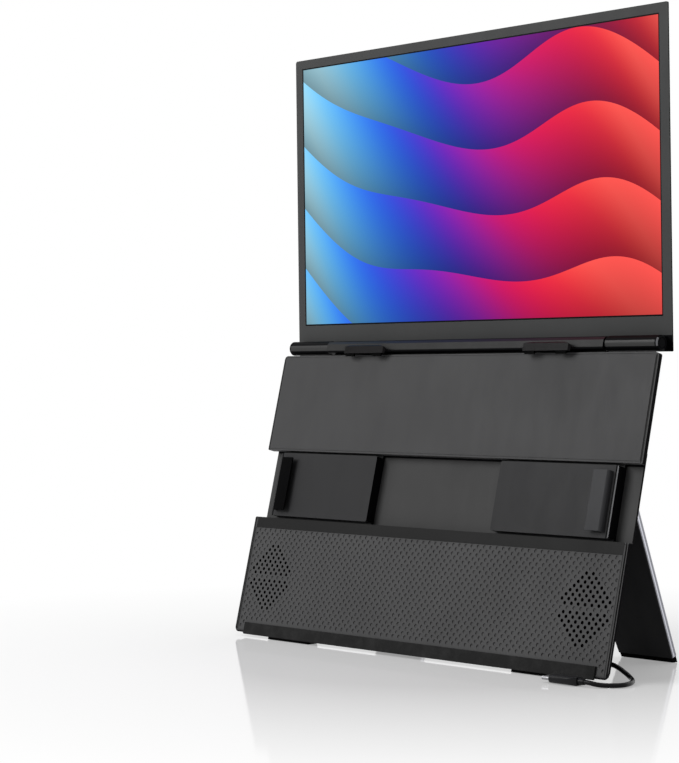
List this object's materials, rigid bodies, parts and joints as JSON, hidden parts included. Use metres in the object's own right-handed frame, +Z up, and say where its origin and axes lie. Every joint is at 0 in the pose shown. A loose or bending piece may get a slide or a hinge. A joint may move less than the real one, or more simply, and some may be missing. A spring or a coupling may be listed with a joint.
{
  "type": "laptop screen extender",
  "caption": "Clip-on second screen for a laptop: leaning base with sliding jaws, lid hooks and a pierced grille, folding rear stand, hinged display above and a short captive lead.",
  "frame": {"origin": "on the floor plane, under the middle of the standing part's bounding box, without the lead", "axes": "+X along the hinge to the viewer's right when facing the screen, +Y to the back, +Z up; the screen faces -Y"},
  "size_m": [0.3748, 0.139, 0.428],
  "materials": {
    "housing": "fine matte grain, dark grey",
    "front_cover": "matte dark grey",
    "trim": "smooth satin, near black",
    "rubber": "matte black rubber",
    "rail": "satin mid grey",
    "hook": "satin dark grey",
    "steel": "turned steel",
    "speaker": "black moulding",
    "cloth": "woven black cloth",
    "board": "green circuit board",
    "socket_metal": "plated sheet steel",
    "bracket": "glass-filled moulding, dark grey",
    "cable_rubber": "smooth black jacket",
    "plug_plastic": "satin black moulding",
    "bezel": "matte dark grey",
    "display": "semi-matte display face",
    "slider": "matte, near black",
    "jaw": "satin dark grey",
    "stand_finish": "silver-grey lacquer",
    "liner": "textured near black",
    "button": "satin black"
  },
  "bodies": {
    "base": {"rear_cover": "housing", "upper_front_cover": "front_cover", "lower_grille_cover": "front_cover", "trim_strip": "trim", "bumper_bar": "rubber", "base_feet": "rubber", "hinge_rail": "rail", "left_hook": "hook", "right_hook": "hook", "hook_pads": "rubber", "left_hinge_shaft": "steel", "right_hinge_shaft": "steel", "left_speaker": "speaker", "right_speaker": "speaker", "grille_cloths": "cloth", "controller_board": "board", "usb_c_sockets": "socket_metal", "mini_hdmi_socket": "socket_metal", "button_board": "board", "rear_screws": "steel", "stand_brackets": "bracket", "stand_pins": "steel", "lead_gland": "housing", "lead_relief": "cable_rubber", "lead": "cable_rubber", "plug_boot": "cable_rubber", "plug_body": "plug_plastic", "plug_tongue": "socket_metal"},
    "screen": {"screen_back_cover": "housing", "screen_bezel": "bezel", "display_panel": "display", "display_board": "board", "left_hinge_barrel": "hook", "right_hinge_barrel": "hook", "barrel_end_caps": "bezel"},
    "left_arm": {"left_arm_slider": "slider", "left_jaw": "jaw", "left_jaw_pad": "rubber"},
    "right_arm": {"right_arm_slider": "slider", "right_jaw": "jaw", "right_jaw_pad": "rubber"},
    "stand": {"stand_plate": "stand_finish", "stand_liner": "liner", "stand_feet": "rubber"},
    "power_key": {"power_button": "button"},
    "menu_up_key": {"menu_up_button": "button"},
    "menu_down_key": {"menu_down_button": "button"}
  },
  "joints": [
    {"name": "screen_tilt", "type": "hinge", "parent": "base", "child": "screen", "pos_m": [0, -0.00417, 0.2106], "axis": [1, 0, 0], "range_deg": [-25, 165.3]},
    {"name": "stand_fold", "type": "hinge", "parent": "base", "child": "stand", "pos_m": [0, -0.00521, 0.1599], "axis": [-1, 0, 0], "range_deg": [0, 34.9]},
    {"name": "left_arm_slide", "type": "slide", "parent": "base", "child": "left_arm", "axis": [-1, 0, 0], "range_m": [-0.008, 0.044]},
    {"name": "right_arm_slide", "type": "slide", "parent": "base", "child": "right_arm", "axis": [1, 0, 0], "range_m": [-0.008, 0.044]},
    {"name": "power_press", "type": "slide", "parent": "base", "child": "power_key", "axis": [1, 0, 0], "range_m": [0, 0.0006], "stiffness_N_per_m": 2500, "springref_m": -0.0002},
    {"name": "menu_up_press", "type": "slide", "parent": "base", "child": "menu_up_key", "axis": [1, 0, 0], "range_m": [0, 0.0006], "stiffness_N_per_m": 2500, "springref_m": -0.0002},
    {"name": "menu_down_press", "type": "slide", "parent": "base", "child": "menu_down_key", "axis": [1, 0, 0], "range_m": [0, 0.0006], "stiffness_N_per_m": 2500, "springref_m": -0.0002}
  ]
}
